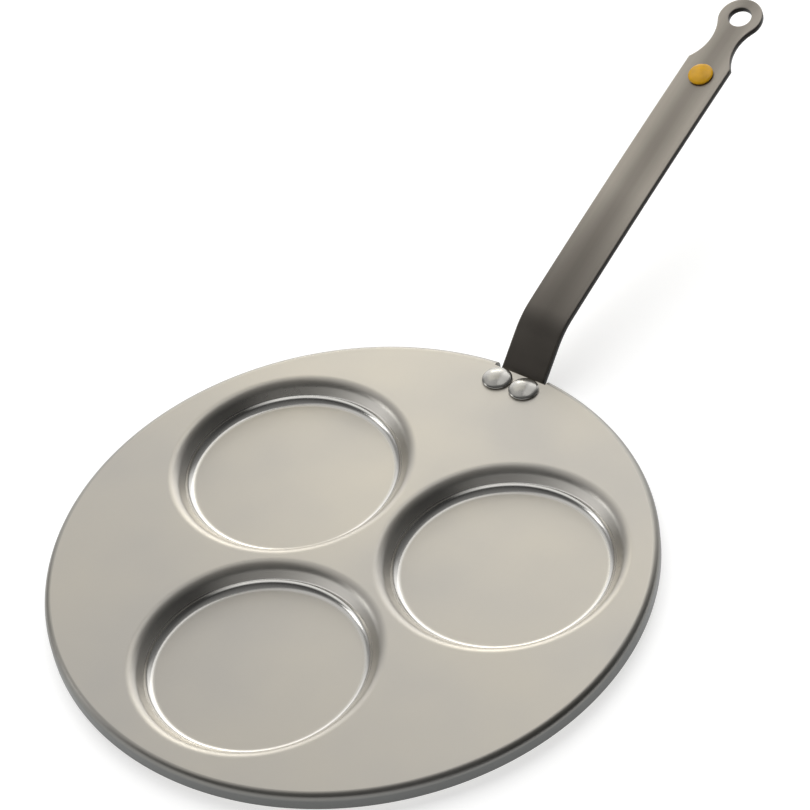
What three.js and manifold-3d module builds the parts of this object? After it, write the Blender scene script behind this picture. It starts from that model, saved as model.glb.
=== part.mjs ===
// Flat round steel pan with three shallow wells pressed into its plate,
// a turned-down rim and a strap handle held by two rivets.
// Millimetres, +Z up. The origin is the centre of the plate's top face,
// and +X runs out along the handle.
import * as THREE from 'three';
import { mergeVertices } from 'three/addons/utils/BufferGeometryUtils.js';
import Module from 'manifold-3d';

const wasm = await Module();
wasm.setup();

const DEGREE = Math.PI / 180;

// Pressed sheet
const SHEET_THICKNESS = 2.5;
const LAND_BETWEEN_WELLS = 2;
const EDGE_MARGIN = 11.4;

// Wells
const WELL_COUNT = 3;
const WELL_FLOOR_RADIUS = 44.8;
const WELL_DEPTH = 8.8;
const WELL_WALL_ANGLE = 52 * DEGREE;
const WELL_FLOOR_FILLET = 4;
const WELL_LIP_UNDERSIDE_RADIUS = 4;

// Turned-down rim and the notch that lets the handle out
const RIM_INSIDE_RADIUS = 0.7;
const RIM_HEIGHT = 7.7;
const NOTCH_DEPTH = 4.7;
const NOTCH_SIDE_GAP = 2.5;

// Strap handle
const STRAP_WIDTH = 23;
const STRAP_THICKNESS = 3.2;
const TAB_END_DISTANCE = 11;
const LOWER_BEND_RADIUS = 2.5;
const RISE_ANGLE = 44.5 * DEGREE;
const RISE_LENGTH = 18.1;
const UPPER_BEND_RADIUS = 34;
const GRIP_ANGLE = 19 * DEGREE;
const GRIP_LENGTH = 187;
const GRIP_BOW_RADIUS = 2840;

// Waisted neck and hanging eye
const EYE_RADIUS = 10.8;
const EYE_HOLE_RADIUS = 5.5;
const NECK_WIDTH = 13.9;
const NECK_TO_EYE = 15.4;

// Rivets
const RIVET_HEAD_RADIUS = 7;
const RIVET_HEAD_EDGE = 1.2;
const RIVET_DOME_RISE = 1.3;
const RIVET_SHANK_RADIUS = 2.5;
const RIVET_TAIL_RADIUS = 3.9;
const RIVET_TAIL_EDGE = 1;
const RIVET_TAIL_RISE = 1;
const RIVET_SETBACK = 0.4;
const RIVET_HEAD_GAP = 0.7;
const HOLE_CLEARANCE = 0.3;

// Badge stud
const STUD_CAP_RADIUS = 6;
const STUD_CAP_EDGE = 0.8;
const STUD_DOME_RISE = 1;
const STUD_STEM_RADIUS = 2;
const STUD_LIP_RADIUS = 3;
const STUD_LIP_HEIGHT = 1;
const STUD_TIP_RADIUS = 1.2;
const STUD_TIP_HEIGHT = 1;
const STUD_FROM_EYE = 36.9;
const SEAT_GAP = 0.3;

// Smoothness
const PAN_SEGMENTS = 80;
const WELL_SEGMENTS = 40;
const TURNED_SEGMENTS = 28;
const ARC_STEPS = 4;
const OUTLINE_STEPS = 10;
const BOW_STEPS = 6;
const CUT_MARGIN = 2;

// Sizes that follow from the driving dimensions
const lipRadius = WELL_LIP_UNDERSIDE_RADIUS + SHEET_THICKNESS;
const wallRoundingDepth = (lipRadius + WELL_FLOOR_FILLET) * (1 - Math.cos(WELL_WALL_ANGLE));
const wallStraight = (WELL_DEPTH - wallRoundingDepth) / Math.sin(WELL_WALL_ANGLE);
const wallWidth = (lipRadius + WELL_FLOOR_FILLET) * Math.sin(WELL_WALL_ANGLE)
  + wallStraight * Math.cos(WELL_WALL_ANGLE);
const wellTopRadius = WELL_FLOOR_RADIUS + wallWidth;
const wellPitchRadius = (2 * wellTopRadius + LAND_BETWEEN_WELLS) / (2 * Math.sin(Math.PI / WELL_COUNT));
const panRadius = wellPitchRadius + wellTopRadius + EDGE_MARGIN;
const notchX = panRadius - NOTCH_DEPTH;
const notchHalfWidth = STRAP_WIDTH / 2 + NOTCH_SIDE_GAP;
const rivetX = notchX - RIVET_SETBACK - RIVET_HEAD_RADIUS;
const rivetY = RIVET_HEAD_RADIUS + RIVET_HEAD_GAP / 2;
const tabStartX = rivetX - TAB_END_DISTANCE;
const tabTopZ = -SHEET_THICKNESS;
const tabBottomZ = tabTopZ - STRAP_THICKNESS;
const holeRadius = RIVET_SHANK_RADIUS + HOLE_CLEARANCE;
const bowAngle = GRIP_LENGTH / GRIP_BOW_RADIUS;
const eyeCentre = GRIP_LENGTH - EYE_RADIUS;

// Points of an arc from one angle to another, both ends included.
function arc(centreX, centreY, radius, from, to, steps = ARC_STEPS) {
  const points = [];
  for (let i = 0; i <= steps; i += 1) {
    const angle = from + ((to - from) * i) / steps;
    points.push(new THREE.Vector2(centreX + radius * Math.cos(angle), centreY + radius * Math.sin(angle)));
  }
  return points;
}

// A closed mesh as a solid, with shared corners merged and empty triangles dropped.
function solidOf(geometry) {
  const bare = geometry.clone();
  bare.deleteAttribute('normal');
  bare.deleteAttribute('uv');
  const merged = mergeVertices(bare);
  const corners = merged.index.array;
  const kept = [];
  for (let i = 0; i < corners.length; i += 3) {
    const [a, b, c] = [corners[i], corners[i + 1], corners[i + 2]];
    if (a !== b && b !== c && c !== a) kept.push(a, b, c);
  }
  const vertProperties = new Float32Array(merged.attributes.position.array);
  const triVerts = new Uint32Array(kept);
  return new wasm.Manifold(new wasm.Mesh({ numProp: 3, vertProperties, triVerts }));
}

// A solid as a geometry for a mesh.
function geometryOf(solid) {
  const mesh = solid.getMesh();
  const geometry = new THREE.BufferGeometry();
  geometry.setAttribute('position', new THREE.BufferAttribute(new Float32Array(mesh.vertProperties), 3));
  geometry.setIndex(new THREE.BufferAttribute(new Uint32Array(mesh.triVerts), 1));
  geometry.computeVertexNormals();
  return geometry;
}

// A profile of radius and height, from the bottom up, turned about the Z axis.
const UPRIGHT = new THREE.Matrix4().makeBasis(
  new THREE.Vector3(1, 0, 0),
  new THREE.Vector3(0, 0, 1),
  new THREE.Vector3(0, -1, 0),
);

function turned(profile, segments) {
  return solidOf(new THREE.LatheGeometry(profile, segments).applyMatrix4(UPRIGHT));
}

// A round bar along Z between two heights.
function bar(radius, low, high) {
  const profile = [[0, low], [radius, low], [radius, high], [0, high]];
  return turned(profile.map(([r, z]) => new THREE.Vector2(r, z)), TURNED_SEGMENTS);
}

function wellCentres() {
  const centres = [];
  for (let i = 0; i < WELL_COUNT; i += 1) {
    const angle = (Math.PI * (2 * i + 1)) / WELL_COUNT;
    centres.push([wellPitchRadius * Math.cos(angle), wellPitchRadius * Math.sin(angle)]);
  }
  return centres;
}

// One face of a well's wall, floor first: floor fillet, sloping wall and lip rounding.
// The face lies the given depth below the sheet's upper face.
function wellWall(below) {
  const filletRadius = WELL_FLOOR_FILLET + below;
  const lip = lipRadius - below;
  const filletCentreZ = WELL_FLOOR_FILLET - WELL_DEPTH;
  const lowTurn = -Math.PI / 2;
  return [
    ...arc(WELL_FLOOR_RADIUS, filletCentreZ, filletRadius, lowTurn, lowTurn + WELL_WALL_ANGLE),
    ...arc(wellTopRadius, -lipRadius, lip, Math.PI / 2 + WELL_WALL_ANGLE, Math.PI / 2),
  ];
}

function wellCavity() {
  return turned([
    new THREE.Vector2(0, -WELL_DEPTH),
    ...wellWall(0),
    new THREE.Vector2(wellTopRadius, CUT_MARGIN),
    new THREE.Vector2(0, CUT_MARGIN),
  ], WELL_SEGMENTS);
}

function wellBoss() {
  const middle = -SHEET_THICKNESS / 2;
  return turned([
    new THREE.Vector2(0, -WELL_DEPTH - SHEET_THICKNESS),
    ...wellWall(SHEET_THICKNESS),
    new THREE.Vector2(wellTopRadius, middle),
    new THREE.Vector2(0, middle),
  ], WELL_SEGMENTS);
}

// The plate with its rim turned down all round.
function plateAndRim() {
  const outside = RIM_INSIDE_RADIUS + SHEET_THICKNESS;
  const bendX = panRadius - outside;
  const quarter = Math.PI / 2;
  return turned([
    new THREE.Vector2(0, -SHEET_THICKNESS),
    ...arc(bendX, -outside, RIM_INSIDE_RADIUS, quarter, 0),
    new THREE.Vector2(panRadius - SHEET_THICKNESS, -RIM_HEIGHT),
    new THREE.Vector2(panRadius, -RIM_HEIGHT),
    ...arc(bendX, -outside, outside, 0, quarter),
    new THREE.Vector2(0, 0),
  ], PAN_SEGMENTS);
}

function rimNotch() {
  const length = NOTCH_DEPTH + CUT_MARGIN;
  const height = RIM_HEIGHT + 2 * CUT_MARGIN;
  const box = new THREE.BoxGeometry(length, 2 * notchHalfWidth, height);
  box.translate(notchX + length / 2, 0, -RIM_HEIGHT / 2);
  return solidOf(box);
}

function rivetHoles(solid) {
  const cutter = bar(holeRadius, tabBottomZ - CUT_MARGIN, CUT_MARGIN);
  return solid
    .subtract(cutter.translate([rivetX, rivetY, 0]))
    .subtract(cutter.translate([rivetX, -rivetY, 0]));
}

function panBody() {
  let solid = plateAndRim();
  const boss = wellBoss();
  const cavity = wellCavity();
  for (const [x, y] of wellCentres()) solid = solid.add(boss.translate([x, y, 0]));
  for (const [x, y] of wellCentres()) solid = solid.subtract(cavity.translate([x, y, 0]));
  return rivetHoles(solid.subtract(rimNotch()));
}

// Stations along the strap's upper face, each with its place and its heading above level.
function strapStations() {
  const stations = [{ x: tabStartX, z: tabTopZ, heading: 0 }];
  const straight = (length) => {
    const last = stations.at(-1);
    const x = last.x + length * Math.cos(last.heading);
    const z = last.z + length * Math.sin(last.heading);
    stations.push({ x, z, heading: last.heading });
  };
  const bend = (radius, angle, steps) => {
    const step = angle / steps;
    const chord = 2 * radius * Math.sin(Math.abs(step) / 2);
    for (let i = 0; i < steps; i += 1) {
      const last = stations.at(-1);
      const middle = last.heading + step / 2;
      const x = last.x + chord * Math.cos(middle);
      const z = last.z + chord * Math.sin(middle);
      stations.push({ x, z, heading: last.heading + step });
    }
  };
  straight(notchX - tabStartX);
  bend(LOWER_BEND_RADIUS, RISE_ANGLE, ARC_STEPS);
  straight(RISE_LENGTH);
  bend(UPPER_BEND_RADIUS, GRIP_ANGLE - RISE_ANGLE, ARC_STEPS);
  const gripStart = stations.at(-1);
  bend(GRIP_BOW_RADIUS, -bowAngle, BOW_STEPS);
  return { stations, gripStart };
}

const { stations, gripStart } = strapStations();

// The place on the grip's upper face at a distance from the upper bend.
function gripPlace(distance) {
  const turn = distance / GRIP_BOW_RADIUS;
  const chord = 2 * GRIP_BOW_RADIUS * Math.sin(turn / 2);
  const middle = gripStart.heading - turn / 2;
  const x = gripStart.x + chord * Math.cos(middle);
  const z = gripStart.z + chord * Math.sin(middle);
  return { x, z, heading: gripStart.heading - turn };
}

// A frame on the strap: first axis along it, second across it, third out of its upper face.
function strapFrame({ x, z, heading }) {
  const along = new THREE.Vector3(Math.cos(heading), 0, Math.sin(heading));
  const across = new THREE.Vector3(0, 1, 0);
  const outward = new THREE.Vector3().crossVectors(along, across);
  return new THREE.Matrix4().makeBasis(along, across, outward).setPosition(x, 0, z);
}

// The bent strip, wider than the strap, seen from the side.
function bentStrip() {
  const upper = stations.map(({ x, z }) => new THREE.Vector2(x, z));
  const lower = stations.map(({ x, z, heading }) => new THREE.Vector2(
    x + STRAP_THICKNESS * Math.sin(heading),
    z - STRAP_THICKNESS * Math.cos(heading),
  ));
  const shape = new THREE.Shape([...lower, ...upper.reverse()]);
  const depth = STRAP_WIDTH + 2 * CUT_MARGIN;
  const strip = new THREE.ExtrudeGeometry(shape, { depth, bevelEnabled: false });
  return solidOf(strip.translate(0, 0, -depth / 2).applyMatrix4(UPRIGHT));
}

// The strap's outline laid flat: straight sides, waisted neck and round eye.
function strapOutline() {
  const half = STRAP_WIDTH / 2;
  const neck = NECK_WIDTH / 2;
  const neckRadius = (NECK_TO_EYE ** 2 + neck ** 2 - EYE_RADIUS ** 2) / (2 * (EYE_RADIUS - neck));
  const neckX = eyeCentre - NECK_TO_EYE;
  const neckY = neck + neckRadius;
  const shoulderX = neckX - Math.sqrt(neckRadius ** 2 - (neckY - half) ** 2);
  const touch = Math.atan2(neckY, neckX - eyeCentre);
  const neckStart = Math.atan2(neckY - half, shoulderX - neckX);
  const neckEnd = touch - Math.PI;
  const back = -2 * (gripStart.x - tabStartX);
  const shape = new THREE.Shape();
  shape.moveTo(back, -half);
  shape.lineTo(shoulderX, -half);
  shape.absarc(neckX, -neckY, neckRadius, neckStart, -neckEnd, true);
  shape.absarc(eyeCentre, 0, EYE_RADIUS, -touch, touch, false);
  shape.absarc(neckX, neckY, neckRadius, neckEnd, -neckStart, true);
  shape.lineTo(back, half);
  return shape;
}

function handle() {
  const height = 2 * (gripStart.z - tabBottomZ);
  const outline = new THREE.ExtrudeGeometry(strapOutline(), {
    depth: height,
    bevelEnabled: false,
    curveSegments: OUTLINE_STEPS,
  });
  const meanFrame = strapFrame({ ...gripStart, heading: gripStart.heading - bowAngle / 2 });
  const outlineSolid = solidOf(outline.translate(0, 0, -height / 2).applyMatrix4(meanFrame));
  const through = (radius, distance) => {
    const cutter = geometryOf(bar(radius, -STRAP_THICKNESS - CUT_MARGIN, CUT_MARGIN));
    return solidOf(cutter.applyMatrix4(strapFrame(gripPlace(distance))));
  };
  const strap = bentStrip()
    .intersect(outlineSolid)
    .subtract(through(EYE_HOLE_RADIUS, eyeCentre))
    .subtract(through(STUD_STEM_RADIUS + HOLE_CLEARANCE, eyeCentre - STUD_FROM_EYE));
  return rivetHoles(strap);
}

// A low dome over a flat edge: points from the rim to the axis, bulging up or down.
function domePoints(radius, edgeZ, rise) {
  const sphere = (radius ** 2 + rise ** 2) / (2 * Math.abs(rise));
  const lean = Math.asin(radius / sphere);
  const side = Math.sign(rise);
  const points = arc(0, edgeZ + rise - side * sphere, sphere, Math.PI / 2 - lean, Math.PI / 2);
  if (side > 0) return points;
  return arc(0, edgeZ + rise + sphere, sphere, -Math.PI / 2, -Math.PI / 2 + lean);
}

function rivet() {
  const tailEdgeZ = tabBottomZ - RIVET_TAIL_EDGE;
  return turned([
    ...domePoints(RIVET_TAIL_RADIUS, tailEdgeZ, -RIVET_TAIL_RISE),
    new THREE.Vector2(RIVET_TAIL_RADIUS, tabBottomZ),
    new THREE.Vector2(RIVET_SHANK_RADIUS, tabBottomZ),
    new THREE.Vector2(RIVET_SHANK_RADIUS, 0),
    new THREE.Vector2(RIVET_HEAD_RADIUS, 0),
    ...domePoints(RIVET_HEAD_RADIUS, RIVET_HEAD_EDGE, RIVET_DOME_RISE),
  ], TURNED_SEGMENTS);
}

// The stud stands on the strap's upper face, with its lip snapped in under the strap.
function badgeStud() {
  const lipTop = -STRAP_THICKNESS - SEAT_GAP;
  const lipBottom = lipTop - STUD_LIP_HEIGHT;
  return turned([
    new THREE.Vector2(0, lipBottom - STUD_TIP_HEIGHT),
    new THREE.Vector2(STUD_TIP_RADIUS, lipBottom - STUD_TIP_HEIGHT),
    new THREE.Vector2(STUD_LIP_RADIUS, lipBottom),
    new THREE.Vector2(STUD_LIP_RADIUS, lipTop),
    new THREE.Vector2(STUD_STEM_RADIUS, lipTop),
    new THREE.Vector2(STUD_STEM_RADIUS, SEAT_GAP),
    new THREE.Vector2(STUD_CAP_RADIUS, SEAT_GAP),
    ...domePoints(STUD_CAP_RADIUS, SEAT_GAP + STUD_CAP_EDGE, STUD_DOME_RISE),
  ], TURNED_SEGMENTS);
}

function piece(name, solid, color, roughness, metalness) {
  const material = new THREE.MeshStandardMaterial({ color, roughness, metalness });
  const mesh = new THREE.Mesh(geometryOf(solid), material);
  mesh.name = name;
  return mesh;
}

const pan = new THREE.Group();
pan.add(piece('pan_body', panBody(), '#bdb8aa', 0.38, 1));
pan.add(piece('handle', handle(), '#8f8a80', 0.42, 1));

for (const [name, y] of [['rivet_left', rivetY], ['rivet_right', -rivetY]]) {
  const mesh = piece(name, rivet(), '#c4c2bc', 0.28, 1);
  mesh.position.set(rivetX, y, 0);
  pan.add(mesh);
}

const studPlace = gripPlace(eyeCentre - STUD_FROM_EYE);
const studSeat = new THREE.Group();
studSeat.position.set(studPlace.x, 0, studPlace.z);
studSeat.rotation.y = -studPlace.heading;
studSeat.add(piece('badge_stud', badgeStud(), '#c8981e', 0.3, 0));
pan.add(studSeat);

export default pan;
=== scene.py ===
"""A pressed steel pan with three wells and a riveted strap handle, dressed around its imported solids."""
import math

import bmesh
import bpy
from bpy.props import FloatProperty, FloatVectorProperty, IntProperty, PointerProperty
from mathutils import Matrix, Vector


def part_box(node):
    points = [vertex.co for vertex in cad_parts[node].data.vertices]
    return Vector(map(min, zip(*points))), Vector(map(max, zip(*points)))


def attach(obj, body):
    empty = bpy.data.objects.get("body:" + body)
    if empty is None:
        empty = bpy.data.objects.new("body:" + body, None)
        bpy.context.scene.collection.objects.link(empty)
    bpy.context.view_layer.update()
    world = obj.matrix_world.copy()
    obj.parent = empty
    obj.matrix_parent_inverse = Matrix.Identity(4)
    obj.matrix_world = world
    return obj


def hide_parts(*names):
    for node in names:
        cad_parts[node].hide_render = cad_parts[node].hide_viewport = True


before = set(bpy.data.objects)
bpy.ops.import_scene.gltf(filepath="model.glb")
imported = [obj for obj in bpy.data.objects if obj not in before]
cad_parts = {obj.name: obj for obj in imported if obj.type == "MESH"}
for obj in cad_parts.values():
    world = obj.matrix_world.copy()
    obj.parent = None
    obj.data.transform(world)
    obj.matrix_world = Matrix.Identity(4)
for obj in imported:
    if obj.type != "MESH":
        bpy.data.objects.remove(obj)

bl_info = {
    "name": "Three-Well Steel Pan",
    "version": (1, 0, 0),
    "blender": (4, 5, 0),
    "location": "3D View > Sidebar > Pan",
    "description": "Presses, rivets and finishes a steel pan with three wells",
    "category": "Object",
}

MM = 0.001
QUARTER = math.pi / 2

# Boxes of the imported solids, kept before anything is added
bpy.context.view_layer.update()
PAN_LOW, PAN_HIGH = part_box("pan_body")
HANDLE_LOW, HANDLE_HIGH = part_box("handle")
RIVET_LOW, RIVET_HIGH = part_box("rivet_left")


def middle(low, high, axis):
    """The middle of a box along one axis."""
    return 0.5 * (low[axis] + high[axis])


# Sizes, finishes and lights that a user would change

def number_prop(name, description, default, **settings):
    """A number property."""
    return FloatProperty(name=name, description=description, default=default, **settings)


def length_prop(name, description, default):
    """A length property in metres."""
    return number_prop(name, description, default, unit="LENGTH")


def angle_prop(name, description, degrees):
    """An angle property with its default in degrees."""
    return number_prop(name, description, math.radians(degrees), subtype="ANGLE")


def power_prop(name, description, watts):
    """A lamp's power property."""
    return number_prop(name, description, watts, subtype="POWER")


def linear(code):
    """An sRGB hex colour as linear red, green and blue."""
    channels = [int(code[i:i + 2], 16) / 255 for i in (1, 3, 5)]
    return [c / 12.92 if c <= 0.04045 else ((c + 0.055) / 1.055) ** 2.4 for c in channels]


def colour_prop(name, description, code):
    """A colour property with an sRGB hex default."""
    return FloatVectorProperty(name=name, description=description, subtype="COLOR",
                               size=3, min=0, max=1, default=linear(code))


class SheetSizes(bpy.types.PropertyGroup):
    """Sizes of the pressed sheet."""
    radius: length_prop("Pan radius", "Radius over the rim", PAN_HIGH[1])
    thickness: length_prop("Sheet thickness", "Thickness of the steel sheet", 2.5 * MM)
    well_count: IntProperty(name="Wells", description="Number of wells", default=3, min=2)
    floor_radius: length_prop("Well floor radius", "Radius of a well's flat floor", 44.8 * MM)
    well_depth: length_prop("Well depth", "From the plate down to a well's floor", 8.8 * MM)
    wall_angle: angle_prop("Wall slope", "Slope of a well's wall above level", 52)
    floor_fillet: length_prop("Floor fillet", "Rounding between floor and wall", 4 * MM)
    coined_fillet: length_prop("Coined fillet", "Fillet ironed in by the punch's edge", 4.6 * MM)
    coined_angle: angle_prop("Coined slope", "Slope at the top of the coined fillet", 70)
    lip_radius: length_prop("Lip rounding", "Rounding between wall and plate", 6.5 * MM)
    land: length_prop("Land", "Flat strip left between two wells", 2 * MM)
    rim_radius: length_prop("Rim bend", "Outside radius of the turned-down rim", 3.2 * MM)
    rim_height: length_prop("Rim height", "From the plate down to the rim's edge", 7.7 * MM)
    notch_depth: length_prop("Notch depth", "How far the notch cuts in from the rim", 4.7 * MM)
    notch_gap: length_prop("Notch gap", "Gap on each side of the strap", 2.5 * MM)
    edge_break: length_prop("Edge break", "Rounding of the sheet's cut edges", 0.4 * MM)


class StrapSizes(bpy.types.PropertyGroup):
    """Sizes of the strap handle."""
    width: length_prop("Strap width", "Width of the flat strap", HANDLE_HIGH[1] - HANDLE_LOW[1])
    thickness: length_prop("Strap thickness", "Thickness of the flat strap", 3.2 * MM)
    lower_bend: length_prop("Lower bend", "Inside radius where the strap turns up", 2.5 * MM)
    rise_angle: angle_prop("Rise angle", "Slope of the steep stretch", 44.5)
    rise_length: length_prop("Rise length", "Straight length of the steep stretch", 18.1 * MM)
    upper_bend: length_prop("Upper bend", "Radius where the strap eases off", 34 * MM)
    grip_angle: angle_prop("Grip angle", "Slope where the grip begins", 19)
    grip_length: length_prop("Grip length", "From the upper bend to the eye's tip", 187 * MM)
    grip_bow: length_prop("Grip bow", "Radius of the grip's slight bow", 2840 * MM)
    eye_radius: length_prop("Eye radius", "Outside radius of the hanging eye", 10.8 * MM)
    eye_hole: length_prop("Eye hole", "Radius of the hanging eye's hole", 5.5 * MM)
    neck_width: length_prop("Neck width", "Width at the waist before the eye", 13.9 * MM)
    neck_to_eye: length_prop("Neck to eye", "From the waist to the eye's centre", 15.4 * MM)
    edge_round: length_prop("Edge rounding", "Rounding along the strap's edges", 0.45 * MM)
    tab_corner: length_prop("Tab corner", "Corner rounding of the riveted tab", 3 * MM)


class RivetSizes(bpy.types.PropertyGroup):
    """Sizes of the two rivets."""
    head_radius: length_prop("Head radius", "Radius of a rivet's head", 0.5 * (RIVET_HIGH[0] - RIVET_LOW[0]))
    head_edge: length_prop("Head edge", "Height of the head's upright edge", 1.2 * MM)
    head_rise: length_prop("Head rise", "Rise of the dome above that edge", 1.3 * MM)
    shank_radius: length_prop("Shank radius", "Radius of the shank", 2.5 * MM)
    tail_radius: length_prop("Tail radius", "Radius of the upset tail", 3.9 * MM)
    tail_edge: length_prop("Tail edge", "Height of the tail's upright edge", 1 * MM)
    tail_rise: length_prop("Tail rise", "Rise of the tail's dome", 1 * MM)
    hole_clearance: length_prop("Hole clearance", "Radial gap round the shank", 0.3 * MM)


class StudSizes(bpy.types.PropertyGroup):
    """Sizes of the badge stud."""
    cap_radius: length_prop("Cap radius", "Radius of the stud's cap", 6 * MM)
    cap_edge: length_prop("Cap edge", "Height of the cap's upright edge", 0.8 * MM)
    cap_rise: length_prop("Cap rise", "Rise of the cap's dome", 1 * MM)
    stem_radius: length_prop("Stem radius", "Radius of the stem", 2 * MM)
    lip_radius: length_prop("Snap lip radius", "Radius of the lip under the strap", 3 * MM)
    lip_height: length_prop("Snap lip height", "Height of the lip", 1 * MM)
    tip_radius: length_prop("Tip radius", "Radius at the stem's end", 1.2 * MM)
    from_eye: length_prop("From the eye", "From the eye's centre to the stud", 36.9 * MM)
    seat_gap: length_prop("Seat gap", "Gap between the cap and the strap", 0.3 * MM)


class Finishes(bpy.types.PropertyGroup):
    """Colours of the finishes."""
    sheet: colour_prop("Sheet", "Bare carbon steel of the plate", "#DCD6CA")
    sheet_smudge: colour_prop("Sheet smudge", "Slightly duller patches of the plate", "#CFCBC4")
    # Ironed fillets: smoother steel, and a lighter colour that is partly a painted highlight
    burnished: colour_prop("Burnished", "Clean steel where the punch ironed it", "#ECEAE5")
    # Painted shade on the rim's skirt and bend and on the wells' lips, far darker than the bare sheet
    drawn: colour_prop("Drawn", "Duller steel where the sheet was drawn over the die", "#6B6C6B")
    strap: colour_prop("Strap", "Steel of the grip", "#C2BBB1")
    # Dark strap colour: painted shade towards the riveted end, and the darker band along the middle
    strap_dark: colour_prop("Strap base", "Heat-darkened steel at the riveted end", "#67625C")
    # Painted shade on the strap's sides, far darker than bare steel can be
    strap_side_shade: colour_prop("Strap edge", "Dark sheared edge of the strap", "#1A1816")
    rivet: colour_prop("Rivet", "Polished steel of the rivets", "#BAB8B3")
    stud: colour_prop("Stud", "Golden yellow of the stud", "#D19C0E")
    floor: colour_prop("Floor", "Pale studio floor", "#BDBDBC")


class StageSettings(bpy.types.PropertyGroup):
    """Light and camera."""
    room_light: number_prop("Room", "Brightness of the dim room above the viewer", 0.04)
    wall_light: number_prop("Wall", "Brightness of the pale wall behind the pan", 0.45)
    window_light: number_prop("Window", "Brightness of the low window in that wall", 1.25)
    ceiling_light: number_prop("Ceiling", "Brightness of the pale ceiling over the grip", 0.54)
    skylight: number_prop("Skylight", "Brightness of the dim skylight overhead", 0.11)
    table_light: number_prop("Table", "Brightness of the pale table low on the left", 1.0)
    sheen_power: power_prop("Sheen light", "Small soft light mirrored in the plate", 0.05)
    strip_power: power_prop("Strip light", "Tall light mirrored in the near fillets", 2.9)
    side_power: power_prop("Side light", "Small light mirrored in the far fillets", 0.75)
    glint_power: power_prop("Glint light", "Small low light mirrored in the rivets", 0.5)
    key_power: power_prop("Key light", "Broad soft light on floor and stud", 40.0)
    floor_glow: number_prop("Floor glow", "Lifts the floor to white where it is seen", 0.62)


SETTINGS = {
    "pan_sheet": SheetSizes,
    "pan_strap": StrapSizes,
    "pan_rivet": RivetSizes,
    "pan_stud": StudSizes,
    "pan_finish": Finishes,
    "pan_stage": StageSettings,
}

# Fineness of the meshes
WELL_SEGMENTS = 192
RIM_SEGMENTS = 384
TURNED_SEGMENTS = 96
HOLE_SEGMENTS = 48
ARC_STEPS = 12
FLOOR_RINGS = 6
BEND_CUTS = 14
GRIP_CUTS = 36
HOLD = 0.4 * MM
MERGE = 0.005 * MM
SMOOTH_ANGLE = math.radians(38)
SHEET_SMOOTH_ANGLE = math.radians(15)

# Marks of the press on the sheet, and painted shade on the wells' lips
COINED_EDGE = 1.1 * MM
# Wall's share of the ironed finish: smoother steel, with a lighter colour that is partly a painted highlight
WALL_SHINE = 0.4
LIP_PAINTED_SHADE = 0.1


# Nodes and meshes

def add_node(tree, kind, inputs=None, **settings):
    """Adds a node with its settings, and sets or links its inputs by name or number."""
    node = tree.nodes.new(kind)
    for key, value in settings.items():
        setattr(node, key, value)
    for key, value in (inputs or {}).items():
        if isinstance(value, bpy.types.NodeSocket):
            tree.links.new(value, node.inputs[key])
        else:
            node.inputs[key].default_value = value
    return node


def math_node(tree, operation, *values):
    """A math node's result."""
    return add_node(tree, "ShaderNodeMath", dict(enumerate(values)), operation=operation).outputs[0]


def arc(centre_x, centre_y, radius, start, end, steps=ARC_STEPS):
    """Points of an arc, both ends included."""
    turns = [start + (end - start) * i / steps for i in range(steps + 1)]
    return [(centre_x + radius * math.cos(t), centre_y + radius * math.sin(t)) for t in turns]


def mesh_object(name, mesh):
    """A new object at the origin that holds the mesh."""
    obj = bpy.data.objects.new(name, mesh)
    bpy.context.scene.collection.objects.link(obj)
    return obj


def spin(name, profile, segments, **marks):
    """Turns a profile of radius and height about the Z axis; marks are kept as point attributes."""
    points, faces, rings = [], [], []
    for radius, height in profile:
        count = 1 if radius < 1e-7 else segments
        ring = list(range(len(points), len(points) + count))
        for k in range(count):
            turn = 2 * math.pi * k / segments
            points.append((radius * math.cos(turn), radius * math.sin(turn), height))
        rings.append(ring)
    for outer, inner in zip(rings, rings[1:]):
        for k in range(segments):
            following = (k + 1) % segments
            corners = [outer[k % len(outer)], outer[following % len(outer)],
                       inner[following % len(inner)], inner[k % len(inner)]]
            face = list(dict.fromkeys(corners))
            if len(face) > 2:
                faces.append(face)
    mesh = bpy.data.meshes.new(name)
    mesh.from_pydata(points, [], faces)
    for mark, values in marks.items():
        layer = mesh.attributes.new(mark, "FLOAT", "POINT")
        layer.data.foreach_set("value", [value for ring, value in zip(rings, values) for _ in ring])
    return mesh


def baked(obj):
    """Turns an object's evaluated result into its plain mesh and drops its modifiers."""
    graph = bpy.context.evaluated_depsgraph_get()
    mesh = bpy.data.meshes.new_from_object(obj.evaluated_get(graph), depsgraph=graph)
    obj.modifiers.clear()
    obj.data = mesh
    return mesh


def run_tree(obj, tree, values):
    """Runs a Geometry Nodes tree on an object with named input values, and keeps the result."""
    modifier = obj.modifiers.new(tree.name, "NODES")
    modifier.node_group = tree
    sockets = {item.name: item.identifier for item in tree.interface.items_tree
               if item.item_type == "SOCKET" and item.in_out == "INPUT"}
    for name, value in values.items():
        modifier[sockets[name]] = value
    obj.update_tag()
    return baked(obj)


def new_tree(name, inputs):
    """A Geometry Nodes tree with named inputs and one geometry output."""
    tree = bpy.data.node_groups.new(name, "GeometryNodeTree")
    tree.interface.new_socket("Geometry", in_out="OUTPUT", socket_type="NodeSocketGeometry")
    for label, kind in inputs:
        tree.interface.new_socket(label, in_out="INPUT", socket_type=f"NodeSocket{kind}")
    return tree, tree.nodes.new("NodeGroupInput").outputs


def finish_tree(tree, geometry, material):
    """Ends a tree with real geometry that carries its material."""
    real = add_node(tree, "GeometryNodeRealizeInstances", {"Geometry": geometry})
    dressed = add_node(tree, "GeometryNodeSetMaterial",
                       {"Geometry": real.outputs[0], "Material": material})
    add_node(tree, "NodeGroupOutput", {"Geometry": dressed.outputs[0]})


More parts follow.
